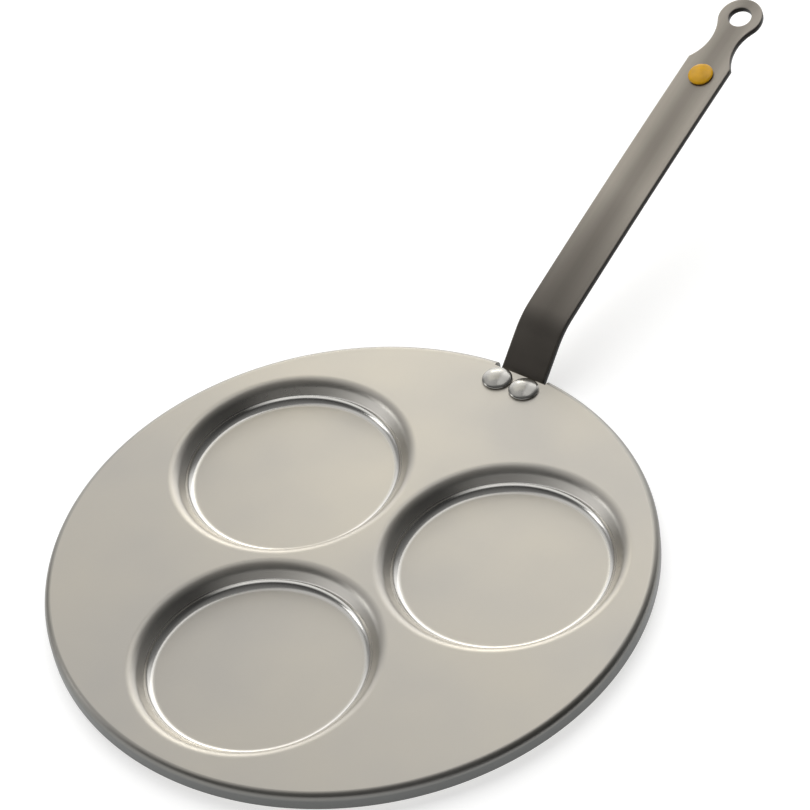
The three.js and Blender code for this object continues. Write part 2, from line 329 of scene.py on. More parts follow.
def settle(obj, node_names, material, smooth_angle=SMOOTH_ANGLE):
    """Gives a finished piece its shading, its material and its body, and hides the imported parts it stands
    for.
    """
    obj.data.materials.clear()
    obj.data.materials.append(material)
    obj.data.shade_smooth()
    obj.data.set_sharp_from_angle(angle=smooth_angle)
    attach(obj, "root")
    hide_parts(*node_names)


# Materials

SATIN_ROUGHNESS = (0.34, 0.42)
IRONED_ROUGHNESS = 0.17
STRAP_ROUGHNESS = (0.36, 0.44)
RIVET_ROUGHNESS = (0.18, 0.22)
STUD_ROUGHNESS = (0.17, 0.23)
STUD_IOR = 1.48
STUD_SHADE = 0.8
GRAIN_STRENGTH = 0.06
GRAIN_DEPTH = 0.05 * MM

# Distances past the pan's edge over which painted shade on the strap fades out
BASE_SHADE_SPAN = (4 * MM, 90 * MM)

# Distances from the strap's middle line over which its darker band fades out, and how dark it is
BAND = (1.5 * MM, 8.5 * MM)
BAND_SHARE = 0.42
STREAK_SHARE = 0.1
STREAK_STRETCH = (0.05, 1.0, 0.05)

def per_mm(size):
    """A texture scale whose features are about this many millimetres across."""
    return 1 / (size * MM)


def new_material(name):
    """An empty node material with its shader and the piece's own coordinates."""
    material = bpy.data.materials.new(name)
    material.use_nodes = True
    tree = material.node_tree
    tree.nodes.clear()
    shader = add_node(tree, "ShaderNodeBsdfPrincipled")
    add_node(tree, "ShaderNodeOutputMaterial", {"Surface": shader.outputs[0]})
    place = add_node(tree, "ShaderNodeTexCoord").outputs["Object"]
    return material, tree, shader, place


def noise(tree, place, size, detail=3.0, roughness=0.5):
    """Cloudy variation with features of the given size in millimetres."""
    return add_node(tree, "ShaderNodeTexNoise", {
        "Vector": place, "Scale": per_mm(size), "Detail": detail, "Roughness": roughness}).outputs[0]


def spread(tree, value, low, high, from_low=0.3, from_high=0.7):
    """Maps a value onto a range."""
    return add_node(tree, "ShaderNodeMapRange", {
        "Value": value, "From Min": from_low, "From Max": from_high,
        "To Min": low, "To Max": high}).outputs[0]


def blend(tree, factor, first, second):
    """Mixes two colours."""
    node = add_node(tree, "ShaderNodeMix", {"Factor": factor}, data_type="RGBA")
    for number, value in ((6, first), (7, second)):
        if isinstance(value, bpy.types.NodeSocket):
            tree.links.new(value, node.inputs[number])
        else:
            node.inputs[number].default_value = (*value, 1.0)
    return node.outputs[2]


def rolled_grain(tree, shader, grain):
    """Gives a shader the fine relief of rolled steel."""
    bump = add_node(tree, "ShaderNodeBump", {
        "Height": grain, "Strength": GRAIN_STRENGTH, "Distance": GRAIN_DEPTH})
    tree.links.new(bump.outputs[0], shader.inputs["Normal"])


def pressed_steel(finish):
    """Bare carbon steel sheet, satin from the rolling mill.

    Broad soft reflections, faint cloudy patches, and fillets where the punch ironed the sheet,
    smoother and with a lighter colour that is partly a painted highlight. Painted shade darkens
    the rim's skirt and bend and the wells' lips.
    """
    material, tree, shader, place = new_material("Pressed carbon steel, satin")
    clouds = noise(tree, place, 70, detail=2.0)
    specks = noise(tree, place, 3)
    grain = noise(tree, place, 0.9, detail=2.0)
    burnish = add_node(tree, "ShaderNodeAttribute", attribute_name="burnish").outputs["Fac"]
    drawn = add_node(tree, "ShaderNodeAttribute", attribute_name="drawn").outputs["Fac"]
    tone = blend(tree, spread(tree, clouds, 0, 1), tuple(finish.sheet), tuple(finish.sheet_smudge))
    # Lighter colour on the ironed fillets, partly a painted highlight
    ironed_and_highlighted = blend(tree, burnish, tone, tuple(finish.burnished))
    # Painted shade on the rim's skirt and the wells' lips
    shaded_tone = blend(tree, drawn, ironed_and_highlighted, tuple(finish.drawn))
    tree.links.new(shaded_tone, shader.inputs["Base Color"])
    dull = spread(tree, clouds, *SATIN_ROUGHNESS)
    fleck = spread(tree, specks, -0.02, 0.02)
    satin = math_node(tree, "ADD", dull, fleck)
    ironed = add_node(tree, "ShaderNodeMix", {"Factor": burnish, 2: satin, 3: IRONED_ROUGHNESS})
    tree.links.new(ironed.outputs[0], shader.inputs["Roughness"])
    rolled_grain(tree, shader, grain)
    shader.inputs["Metallic"].default_value = 1.0
    return material


def strap_steel(finish):
    """Flat rolled steel bar, satin, with faint rolling streaks and near-black painted shade on its sides.

    It is darker along its middle, and carries painted shade towards the riveted end.
    """
    material, tree, shader, place = new_material("Rolled steel strap, satin")
    along, across, _ = add_node(tree, "ShaderNodeSeparateXYZ", {"Vector": place}).outputs
    base_shade = spread(tree, along, 1, 0, *(PAN_HIGH[0] + distance for distance in BASE_SHADE_SPAN))
    band = spread(tree, math_node(tree, "ABSOLUTE", across), BAND_SHARE, 0, *BAND)
    clouds = noise(tree, place, 30)
    grain = noise(tree, place, 0.8, detail=2.0)
    edge = add_node(tree, "ShaderNodeAttribute", attribute_name="shaded").outputs["Fac"]
    lengthwise = add_node(tree, "ShaderNodeVectorMath", {0: place, 1: STREAK_STRETCH},
                          operation="MULTIPLY")
    streaks = noise(tree, lengthwise.outputs[0], 4, detail=2.0)
    dark = tuple(finish.strap_dark)
    rolled = blend(tree, spread(tree, streaks, 0, STREAK_SHARE), tuple(finish.strap), dark)
    banded = blend(tree, band, rolled, dark)
    # Painted shade towards the riveted end
    bar = blend(tree, base_shade, banded, dark)
    # Near-black painted shade on the strap's sides
    cut = blend(tree, edge, bar, tuple(finish.strap_side_shade))
    tree.links.new(cut, shader.inputs["Base Color"])
    tree.links.new(spread(tree, clouds, *STRAP_ROUGHNESS), shader.inputs["Roughness"])
    rolled_grain(tree, shader, grain)
    shader.inputs["Metallic"].default_value = 1.0
    return material


def rivet_steel(finish):
    """Steel rivet, head polished by the riveting die, with fine tumbling marks."""
    material, tree, shader, place = new_material("Polished steel rivet")
    marks = noise(tree, place, 1.2)
    shader.inputs["Base Color"].default_value = (*finish.rivet, 1.0)
    tree.links.new(spread(tree, marks, *RIVET_ROUGHNESS), shader.inputs["Roughness"])
    shader.inputs["Metallic"].default_value = 1.0
    return material


def stud_plastic(finish):
    """Moulded acetal, dyed golden yellow and glossy."""
    material, tree, shader, place = new_material("Glossy yellow acetal")
    clouds = noise(tree, place, 4)
    shade = tuple(STUD_SHADE * c for c in finish.stud)
    tone = blend(tree, spread(tree, clouds, 0, 1), tuple(finish.stud), shade)
    tree.links.new(tone, shader.inputs["Base Color"])
    tree.links.new(spread(tree, clouds, *STUD_ROUGHNESS), shader.inputs["Roughness"])
    shader.inputs["IOR"].default_value = STUD_IOR
    return material


# The pressed sheet

def well_radius(sheet):
    """Radius where a well's lip leaves the plate."""
    slope = sheet.wall_angle
    rounding = sheet.lip_radius + sheet.floor_fillet
    wall = (sheet.well_depth - rounding * (1 - math.cos(slope))) / math.sin(slope)
    return sheet.floor_radius + rounding * math.sin(slope) + wall * math.cos(slope)


def pitch_radius(sheet):
    """Distance from the pan's centre to a well's centre."""
    return (2 * well_radius(sheet) + sheet.land) / (2 * math.sin(math.pi / sheet.well_count))


def well_skin(sheet):
    """Upper face of one well, from a narrow ring of plate to the centre of the floor."""
    top = well_radius(sheet)
    slope = sheet.wall_angle
    steep = sheet.coined_angle
    floor = -sheet.well_depth
    lip = arc(top, -sheet.lip_radius, sheet.lip_radius, QUARTER, QUARTER + slope)
    foot_x = sheet.floor_radius + sheet.coined_fillet * math.sin(steep)
    foot_z = floor + sheet.coined_fillet * (1 - math.cos(steep))
    reach = COINED_EDGE * math.tan((steep - slope) / 2)
    edge_x = foot_x + reach * math.cos(slope)
    edge_z = foot_z + reach * math.sin(slope)
    above = [(edge_x + HOLD * math.cos(slope), edge_z + HOLD * math.sin(slope))]
    turn_x = edge_x + COINED_EDGE * math.sin(slope)
    turn_z = edge_z - COINED_EDGE * math.cos(slope)
    edge = arc(turn_x, turn_z, COINED_EDGE, QUARTER + slope, QUARTER + steep, 4)
    lower = steep - 2 * reach / sheet.coined_fillet
    fillet = arc(sheet.floor_radius, floor + sheet.coined_fillet, sheet.coined_fillet,
                 lower - QUARTER, -QUARTER)
    rings = [(sheet.floor_radius - HOLD, floor)]
    for k in range(FLOOR_RINGS - 1, -1, -1):
        rings.append((sheet.floor_radius * k / FLOOR_RINGS, floor))
    below = [(lip[-1][0] - HOLD * math.cos(slope), lip[-1][1] - HOLD * math.sin(slope))]
    profile = [(top + HOLD, 0.0)] + lip + below + above + edge + fillet + rings
    # Ironed finish with its partly painted highlight: none on the lip's upper half, some on the wall, full
    # on the coined edge and most of the fillet, fading out towards the floor
    lip_shine = [WALL_SHINE * max(0.0, 2 * k / ARC_STEPS - 1) for k in range(len(lip))]
    wall_shine = [WALL_SHINE] * len(below + above)
    fillet_shine = [min(1.0, 3 * (1 - k / ARC_STEPS)) for k in range(len(fillet))]
    burnish = [0.0] + lip_shine + wall_shine + [1.0] * len(edge) + fillet_shine + [0.0] * len(rings)
    # Painted shade on the lip, rising over its first quarter, ending where the wall begins
    lip_painted_shade = [LIP_PAINTED_SHADE * min(1.0, 3 * k / ARC_STEPS) for k in range(len(lip))]
    wall_painted_shade = [LIP_PAINTED_SHADE, 0.0]
    drawn = [0.0] + lip_painted_shade + wall_painted_shade + [0.0] * (len(edge) + len(fillet) + len(rings))
    return spin("well_skin", profile, WELL_SEGMENTS, burnish=burnish, drawn=drawn)


def rim_skin(sheet):
    """Upper and outer face of the turned-down rim."""
    bend = sheet.radius - sheet.rim_radius
    profile = [(sheet.radius, -sheet.rim_height), (sheet.radius, -sheet.rim_radius - HOLD)]
    profile += arc(bend, -sheet.rim_radius, sheet.rim_radius, 0, QUARTER)
    profile += [(bend - HOLD, 0.0)]
    # Painted shade: full on the skirt, fading out over the bend towards the plate
    drawn = [1.0, 1.0] + [math.sqrt(1 - k / ARC_STEPS) for k in range(ARC_STEPS + 1)] + [0.0]
    return spin("rim_skin", profile, RIM_SEGMENTS, drawn=drawn)


def sheet_tree():
    """Joins the rim, the wells set round a circle and the flat land filled in between them."""
    tree, given = new_tree("Pressed sheet", [
        ("Well", "Object"), ("Rim", "Object"), ("Well Count", "Int"), ("Pitch Radius", "Float"),
        ("Well Radius", "Float"), ("Plate Radius", "Float"), ("Well Segments", "Int"),
        ("Rim Segments", "Int"), ("Rivet Hole", "Float"), ("Rivet X", "Float"),
        ("Rivet Y", "Float"), ("Merge", "Float"), ("Material", "Material")])
    index = add_node(tree, "GeometryNodeInputIndex").outputs[0]
    odd = math_node(tree, "MULTIPLY_ADD", index, 2.0, 1.0)
    share = math_node(tree, "DIVIDE", math.pi, given["Well Count"])
    turn = math_node(tree, "MULTIPLY", odd, share)
    across = math_node(tree, "COSINE", turn)
    upward = math_node(tree, "SINE", turn)
    ray = add_node(tree, "ShaderNodeCombineXYZ", {"X": across, "Y": upward}).outputs[0]
    spot = add_node(tree, "ShaderNodeVectorMath", {0: ray, "Scale": given["Pitch Radius"]},
                    operation="SCALE")
    spots = add_node(tree, "GeometryNodePoints", {
        "Count": given["Well Count"], "Position": spot.outputs[0]})
    well = add_node(tree, "GeometryNodeObjectInfo", {"Object": given["Well"]}).outputs["Geometry"]
    rim = add_node(tree, "GeometryNodeObjectInfo", {"Object": given["Rim"]}).outputs["Geometry"]
    wells = add_node(tree, "GeometryNodeInstanceOnPoints", {"Points": spots.outputs[0], "Instance": well})
    outlines = add_node(tree, "GeometryNodeJoinGeometry")
    edge = add_node(tree, "GeometryNodeCurvePrimitiveCircle", {
        "Resolution": given["Rim Segments"], "Radius": given["Plate Radius"]}).outputs[0]
    tree.links.new(edge, outlines.inputs[0])
    mouth = add_node(tree, "GeometryNodeCurvePrimitiveCircle", {
        "Resolution": given["Well Segments"], "Radius": given["Well Radius"]}).outputs[0]
    mouths = add_node(tree, "GeometryNodeInstanceOnPoints", {"Points": spots.outputs[0], "Instance": mouth})
    tree.links.new(mouths.outputs[0], outlines.inputs[0])
    hole = add_node(tree, "GeometryNodeCurvePrimitiveCircle", {
        "Resolution": HOLE_SEGMENTS, "Radius": given["Rivet Hole"]}).outputs[0]
    for side in (1.0, -1.0):
        beside = math_node(tree, "MULTIPLY", given["Rivet Y"], side)
        where = add_node(tree, "ShaderNodeCombineXYZ", {"X": given["Rivet X"], "Y": beside}).outputs[0]
        moved = add_node(tree, "GeometryNodeTransform", {"Geometry": hole, "Translation": where})
        tree.links.new(moved.outputs[0], outlines.inputs[0])
    curves = add_node(tree, "GeometryNodeRealizeInstances", {"Geometry": outlines.outputs[0]}).outputs[0]
    land = add_node(tree, "GeometryNodeFillCurve", {"Curve": curves})
    whole = add_node(tree, "GeometryNodeJoinGeometry")
    for part in (land.outputs[0], wells.outputs[0], rim):
        tree.links.new(part, whole.inputs[0])
    real = add_node(tree, "GeometryNodeRealizeInstances", {"Geometry": whole.outputs[0]}).outputs[0]
    joined = add_node(tree, "GeometryNodeMergeByDistance", {"Geometry": real, "Distance": given["Merge"]})
    finish_tree(tree, joined.outputs[0], given["Material"])
    return tree


def cut_notch(mesh, sheet, half_width):
    """Opens the rim where the strap leaves the pan."""
    edge = sheet.radius - sheet.notch_depth
    work = bmesh.new()
    work.from_mesh(mesh)
    cuts = [((edge, 0, 0), (1, 0, 0)), ((0, half_width, 0), (0, 1, 0)), ((0, -half_width, 0), (0, 1, 0))]
    for point, normal in cuts:
        near = [f for f in work.faces if f.calc_center_median().x > edge - 3 * sheet.notch_depth
                and abs(f.calc_center_median().y) < 2 * half_width]
        near += [f for f in work.faces if f not in near and max(v.co.x for v in f.verts) > edge
                 and min(abs(v.co.y) for v in f.verts) < 2 * half_width]
        parts = list({part for f in near for part in (*f.verts, *f.edges)}) + near
        bmesh.ops.bisect_plane(work, geom=parts, dist=1e-7, plane_co=point, plane_no=normal)
    gone = [f for f in work.faces if f.calc_center_median().x > edge
            and abs(f.calc_center_median().y) < half_width]
    bmesh.ops.delete(work, geom=gone, context="FACES")
    bmesh.ops.recalc_face_normals(work, faces=work.faces)
    if sum(f.normal.z * f.calc_area() for f in work.faces) < 0:
        bmesh.ops.reverse_faces(work, faces=work.faces)
    work.to_mesh(mesh)
    work.free()


class PAN_OT_press_sheet(bpy.types.Operator):
    """Press the plate, its wells and its rim from one sheet"""
    bl_idname = "pan.press_sheet"
    bl_label = "Press Sheet"

    def execute(self, context):
        scene = context.scene
        sheet, strap, rivet = scene.pan_sheet, scene.pan_strap, scene.pan_rivet
        material = pressed_steel(scene.pan_finish)
        well = mesh_object("well_skin", well_skin(sheet))
        rim = mesh_object("rim_skin", rim_skin(sheet))
        pan = mesh_object("pressed_sheet", bpy.data.meshes.new("pressed_sheet"))
        run_tree(pan, sheet_tree(), {
            "Well": well, "Rim": rim, "Well Count": sheet.well_count,
            "Pitch Radius": pitch_radius(sheet), "Well Radius": well_radius(sheet) + HOLD,
            "Plate Radius": sheet.radius - sheet.rim_radius - HOLD,
            "Well Segments": WELL_SEGMENTS, "Rim Segments": RIM_SEGMENTS,
            "Rivet Hole": rivet.shank_radius + rivet.hole_clearance,
            "Rivet X": middle(RIVET_LOW, RIVET_HIGH, 0), "Rivet Y": middle(RIVET_LOW, RIVET_HIGH, 1),
            "Merge": MERGE, "Material": material})
        for helper in (well, rim):
            bpy.data.objects.remove(helper)
        if not pan.data.polygons:
            raise RuntimeError("the pressed sheet came out empty")
        cut_notch(pan.data, sheet, strap.width / 2 + sheet.notch_gap)
        wall = pan.modifiers.new("Sheet thickness", "SOLIDIFY")
        wall.thickness = sheet.thickness
        wall.offset = -1
        wall.use_even_offset = True
        break_edges = pan.modifiers.new("Broken edges", "BEVEL")
        break_edges.width = sheet.edge_break
        break_edges.segments = 2
        break_edges.limit_method = "ANGLE"
        break_edges.angle_limit = math.radians(50)
        baked(pan)
        settle(pan, ["pan_body"], material, SHEET_SMOOTH_ANGLE)
        return {"FINISHED"}


# The strap handle

def strap_runs(sheet, strap):
    """The strap's upper face as runs of length, bend radius (0 for straight) and turn."""
    tab = sheet.radius - sheet.notch_depth - HANDLE_LOW[0]
    ease = strap.rise_angle - strap.grip_angle
    return [
        (tab, 0.0, 0.0),
        (strap.lower_bend * strap.rise_angle, strap.lower_bend, strap.rise_angle),
        (strap.rise_length, 0.0, 0.0),
        (strap.upper_bend * ease, strap.upper_bend, -ease),
        (strap.grip_length, strap.grip_bow, -strap.grip_length / strap.grip_bow),
    ]


def strap_place(runs, start, distance):
    """Place and heading on the strap's upper face at a distance from the tab's end."""
    x, z = start
    heading = 0.0
    for index, (length, radius, turn) in enumerate(runs):
        last = index == len(runs) - 1
        step = distance if last else min(distance, length)
        if radius:
            part = turn * step / length
            chord = 2 * radius * math.sin(abs(part) / 2)
            x += chord * math.cos(heading + part / 2)
            z += chord * math.sin(heading + part / 2)
            heading += part
        else:
            x += step * math.cos(heading)
            z += step * math.sin(heading)
        distance -= step
        if distance <= 0:
            break
    return x, z, heading


def strap_start(sheet):
    """Where the strap's upper face begins, under the plate."""
    return HANDLE_LOW[0], -sheet.thickness


def strap_outline(strap, grip_start):
    """The strap's outline laid flat, anticlockwise from a corner of the tab."""
    half, neck = strap.width / 2, strap.neck_width / 2
    eye = grip_start + strap.grip_length - strap.eye_radius
    waist = eye - strap.neck_to_eye
    swell = strap.eye_radius - neck
    neck_radius = (strap.neck_to_eye ** 2 + neck ** 2 - strap.eye_radius ** 2) / (2 * swell)
    neck_y = neck + neck_radius
    shoulder = waist - math.sqrt(neck_radius ** 2 - (neck_y - half) ** 2)
    touch = math.atan2(neck_y, waist - eye)
    neck_from = math.atan2(neck_y - half, shoulder - waist)
    neck_to = math.pi - touch
    corner = strap.tab_corner
    points = arc(corner, corner - half, corner, -math.pi, -QUARTER, 8)
    points += [(grip_start, -half)]
    points += arc(waist, -neck_y, neck_radius, neck_from, neck_to, 24)
    points += arc(eye, 0, strap.eye_radius, -touch, touch, 48)[1:-1]
    points += arc(waist, neck_y, neck_radius, -neck_to, -neck_from, 24)
    points += [(grip_start, half)]
    points += arc(corner, half - corner, corner, QUARTER, math.pi, 8)
    return points, eye


def edge_normals(points):
    """Outward normals of a closed anticlockwise outline, mitred at its corners."""
    normals = []
    count = len(points)
    for i in range(count):
        before, here, after = (Vector(points[(i + k) % count]) for k in (-1, 0, 1))
        first = (here - before).normalized()
        second = (after - here).normalized()
        bisector = (first + second).normalized()
        mitre = 1 / max(0.5, bisector.dot(first))
        normals.append(Vector((bisector.y, -bisector.x)) * mitre)
    return normals


def edge_steps(strap):
    """Inset and depth across the strap's edge: upper rounding, side and lower rounding."""
    steps = [(strap.edge_round + HOLD, 0.0)]
    turns = [QUARTER * k / 4 for k in range(5)]
    upper = [(strap.edge_round * (1 - math.sin(t)), strap.edge_round * (1 - math.cos(t))) for t in turns]
    lower = [(inset, strap.thickness - depth) for inset, depth in reversed(upper)]
    return steps + upper + lower + [(strap.edge_round + HOLD, strap.thickness)]


def flat_strap(strap, outline, holes):
    """The strap laid flat, with rounded edges and its holes, as a closed mesh."""
    work = bmesh.new()
    shaded = work.verts.layers.float.new("shaded")
    steps = edge_steps(strap)
    lids = ([], [])
    for loop, sign in [(outline, 1)] + [(hole, -1) for hole in holes]:
        normals = edge_normals(loop)
        rings = []
        for inset, depth in steps:
            ring = []
            for (s, y), normal in zip(loop, normals):
                vert = work.verts.new((s - sign * inset * normal.x, y - sign * inset * normal.y, -depth))
                # Marks the strap's sides for their painted shade
                vert[shaded] = 1.0 if inset < 0.2 * strap.edge_round else 0.0
                ring.append(vert)
            rings.append(ring)
        count = len(loop)
        for upper, lower in zip(rings, rings[1:]):
            for k in range(count):
                following = (k + 1) % count
                work.faces.new((upper[k], upper[following], lower[following], lower[k]))
        for lid, ring in zip(lids, (rings[0], rings[-1])):
            lid.extend(work.edges.get((ring[k], ring[(k + 1) % count])) for k in range(count))
    for lid in lids:
        bmesh.ops.triangle_fill(work, use_beauty=True, use_dissolve=False, edges=lid)
    return work


def ring_points(s, y, radius):
    """A hole's outline laid flat."""
    return arc(s, y, radius, 0, 2 * math.pi, HOLE_SEGMENTS)[:-1]


class PAN_OT_bend_strap(bpy.types.Operator):
    """Cut the strap with its neck and eye, and bend it to shape"""
    bl_idname = "pan.bend_strap"
    bl_label = "Bend Strap"

    def execute(self, context):
        scene = context.scene
        sheet, strap, rivet, stud = scene.pan_sheet, scene.pan_strap, scene.pan_rivet, scene.pan_stud
        runs = strap_runs(sheet, strap)
        start = strap_start(sheet)
        grip_start = sum(length for length, _, _ in runs[:-1])
        outline, eye = strap_outline(strap, grip_start)
        rivet_s = middle(RIVET_LOW, RIVET_HIGH, 0) - start[0]
        rivet_y = middle(RIVET_LOW, RIVET_HIGH, 1)
        rivet_hole = rivet.shank_radius + rivet.hole_clearance
        holes = [
            ring_points(eye, 0, strap.eye_hole),
            ring_points(eye - stud.from_eye, 0, stud.stem_radius + rivet.hole_clearance),
            ring_points(rivet_s, rivet_y, rivet_hole),
            ring_points(rivet_s, -rivet_y, rivet_hole),
        ]
        work = flat_strap(strap, outline, holes)
        reached = 0.0
        for length, radius, _ in runs:
            pieces = BEND_CUTS if 0 < radius < strap.grip_length else GRIP_CUTS if radius else 1
            for k in range(1, pieces + 1):
                parts = [*work.verts, *work.edges, *work.faces]
                bmesh.ops.bisect_plane(work, geom=parts, dist=1e-7, plane_no=(1, 0, 0),
                                       plane_co=(reached + length * k / pieces, 0, 0))
            reached += length
        for vert in work.verts:
            s, y, depth = vert.co
            x, z, heading = strap_place(runs, start, s)
            vert.co = (x - depth * math.sin(heading), y, z + depth * math.cos(heading))
        bmesh.ops.recalc_face_normals(work, faces=work.faces)
        mesh = bpy.data.meshes.new("strap_handle")
        work.to_mesh(mesh)
        work.free()
        handle = mesh_object("strap_handle", mesh)
        settle(handle, ["handle"], strap_steel(scene.pan_finish))
        return {"FINISHED"}


# Rivets and stud

def dome(radius, edge, rise, steps=ARC_STEPS):
    """A low dome from its rim to the axis; a negative rise bulges down."""
    sphere = (radius ** 2 + rise ** 2) / (2 * abs(rise))
    lean = math.asin(radius / sphere)
    side = math.copysign(1, rise)
    points = arc(0, 0, sphere, QUARTER - lean, QUARTER, steps)
    return [(max(0.0, r), edge + rise + side * (z - sphere)) for r, z in points[:-1]] + [(0.0, edge + rise)]


def rounded_rim(radius, low, high, rounding, steps=4):
    """The upright edge of a head, rounded at its foot and its shoulder."""
    foot = arc(radius - rounding, low + rounding, rounding, -QUARTER, 0, steps)
    shoulder = arc(radius - rounding, high - rounding, rounding, 0, QUARTER / 2, steps)
    return foot + shoulder


def rivet_profile(rivet, grip):
    """A rivet from its tail's tip to its head's crown; the grip is plate and tab together."""
    tail = dome(rivet.tail_radius, -grip - rivet.tail_edge, -rivet.tail_rise)
    rounding = 0.5 * rivet.head_edge
    head = rounded_rim(rivet.head_radius, 0.0, rivet.head_edge, rounding)
    crown = dome(rivet.head_radius - 0.3 * rounding, rivet.head_edge, rivet.head_rise)[1:]
    shank = [(rivet.tail_radius, -grip), (rivet.shank_radius, -grip), (rivet.shank_radius, 0.0)]
    return tail[::-1] + shank + head + crown


def rivet_tree():
    """Sets a rivet on each end of a short line across the handle."""
    tree, given = new_tree("Rivet row", [
        ("Rivet", "Object"), ("Count", "Int"), ("Start", "Vector"), ("Step", "Vector"),
        ("Material", "Material")])
    line = add_node(tree, "GeometryNodeMeshLine", {
        "Count": given["Count"], "Start Location": given["Start"], "Offset": given["Step"]})
    rivet = add_node(tree, "GeometryNodeObjectInfo", {"Object": given["Rivet"]}).outputs["Geometry"]
    row = add_node(tree, "GeometryNodeInstanceOnPoints", {"Points": line.outputs[0], "Instance": rivet})
    finish_tree(tree, row.outputs[0], given["Material"])
    return tree


class PAN_OT_set_rivets(bpy.types.Operator):
    """Set the rivets through the plate and the strap's tab"""
    bl_idname = "pan.set_rivets"
    bl_label = "Set Rivets"

    def execute(self, context):
        scene = context.scene
        rivet = scene.pan_rivet
        grip = scene.pan_sheet.thickness + scene.pan_strap.thickness
        material = rivet_steel(scene.pan_finish)
        one = mesh_object("one_rivet", spin("one_rivet", rivet_profile(rivet, grip), TURNED_SEGMENTS))
        row = mesh_object("rivets", bpy.data.meshes.new("rivets"))
        x, y = middle(RIVET_LOW, RIVET_HIGH, 0), middle(RIVET_LOW, RIVET_HIGH, 1)
        run_tree(row, rivet_tree(), {
            "Rivet": one, "Count": 2, "Start": (x, y, 0.0), "Step": (0.0, -2 * y, 0.0),
            "Material": material})
        bpy.data.objects.remove(one)
        if not row.data.polygons:
            raise RuntimeError("the rivet row came out empty")
        settle(row, ["rivet_left", "rivet_right"], material)
        return {"FINISHED"}


def stud_profile(stud, strap):
    """The stud from its stem's tip to the crown of its cap, standing on the strap's face."""
    lip_top = -strap.thickness - stud.seat_gap
    lip_low = lip_top - stud.lip_height
    rounding = 0.35 * stud.cap_edge
    cap = rounded_rim(stud.cap_radius, stud.seat_gap, stud.seat_gap + stud.cap_edge, rounding)
    crown = dome(stud.cap_radius - 0.3 * rounding, stud.seat_gap + stud.cap_edge, stud.cap_rise)[1:]
    stem = [(0.0, lip_low - stud.lip_height), (stud.tip_radius, lip_low - stud.lip_height),
            (stud.lip_radius, lip_low), (stud.lip_radius, lip_top), (stud.stem_radius, lip_top),
            (stud.stem_radius, stud.seat_gap)]
    return stem + cap + crown


class PAN_OT_seat_stud(bpy.types.Operator):
    """Push the badge stud into the grip"""
    bl_idname = "pan.seat_stud"
    bl_label = "Seat Stud"

    def execute(self, context):
        scene = context.scene
        sheet, strap, stud = scene.pan_sheet, scene.pan_strap, scene.pan_stud
        runs = strap_runs(sheet, strap)
        distance = sum(length for length, _, _ in runs) - strap.eye_radius - stud.from_eye
        x, z, heading = strap_place(runs, strap_start(sheet), distance)
        mesh = spin("badge_stud", stud_profile(stud, strap), TURNED_SEGMENTS)
        mesh.transform(Matrix.Translation((x, 0, z)) @ Matrix.Rotation(-heading, 4, "Y"))
        cap = mesh_object("badge_stud_cap", mesh)
        settle(cap, ["badge_stud"], stud_plastic(scene.pan_finish))
        return {"FINISHED"}


# Stage

CAMERA_AZIMUTH = math.radians(-47.303)
CAMERA_ELEVATION = math.radians(43.162)
CAMERA_ROLL = math.radians(-9.458)
CAMERA_DISTANCE = 1.489019
CAMERA_TARGET = Vector((88.323 * MM, 34.606 * MM, 0.0))
FOCAL_PIXELS = 3276.578
IMAGE_PIXELS = 810
SENSOR_WIDTH = 36.0
FLOOR_RADIUS = 30.0
FLOOR_GAP = 0.05 * MM
WARM_WHITE = (1.0, 0.96, 0.82)

# Patches of the room: azimuth and elevation, and how far out the light is gone and is full, in degrees
WALL_PATCH = (43, 10, 180, 0)
WINDOW_PATCH = (30, 12, 50, 22)
CEILING_PATCH = (82, 57, 28, 8)
SKYLIGHT_PATCH = (223, 75, 45, 10)
TABLE_PATCH = (175, 0, 84, 53)
WALL_FALLOFF = 3.0

# Heights of a ray between which the window and the table fade out
WINDOW_FADE = (0.45, 0.75)
TABLE_FADE = (0.3, 0.5)

# Lamps: azimuth and elevation in degrees, then distance, width and height in metres
SHEEN_LAMP = (128, 38, 0.54, 0.2, 0.2)
STRIP_LAMP = (104, 50, 2.0, 0.67, 2.0)
SIDE_LAMP = (202, 28, 1.2, 0.35, 0.4)
GLINT_LAMP = (127, 20, 1.5, 0.4, 0.16)
KEY_LAMP = (133, 62, 2.2, 2.2, 2.2)


def view_axes(azimuth, elevation, roll=0.0):
    """Right, up and back axes of a viewer at an azimuth and elevation."""
    back = Vector((math.sin(azimuth) * math.cos(elevation),
                   -math.cos(azimuth) * math.cos(elevation), math.sin(elevation)))
    right = Vector((math.cos(azimuth), math.sin(azimuth), 0.0))
    up = back.cross(right)
    turned_right = math.cos(roll) * right + math.sin(roll) * up
    turned_up = -math.sin(roll) * right + math.cos(roll) * up
    return turned_right, turned_up, back


def facing(axes, place):
    """A matrix that puts an object at a place, looking down its own -Z towards the target."""
    right, up, back = axes
    columns = Matrix((right, up, back)).transposed().to_4x4()
    return Matrix.Translation(place) @ columns


def soft_light(name, lamp_place, watts):
    """A rectangular soft light that looks at the pan."""
    azimuth, elevation, distance, width, height = lamp_place
    lamp = bpy.data.lights.new(name, "AREA")
    lamp.shape = "RECTANGLE"
    lamp.size = width
    lamp.size_y = height
    lamp.energy = watts
    obj = bpy.data.objects.new(name, lamp)
    bpy.context.scene.collection.objects.link(obj)
    axes = view_axes(math.radians(azimuth), math.radians(elevation))
    obj.matrix_world = facing(axes, axes[2] * distance)
    return obj


def toward(azimuth, elevation):
    """A unit vector to an azimuth from +X and an elevation in radians."""
    return Vector((math.cos(azimuth) * math.cos(elevation),
                   math.sin(azimuth) * math.cos(elevation), math.sin(elevation)))


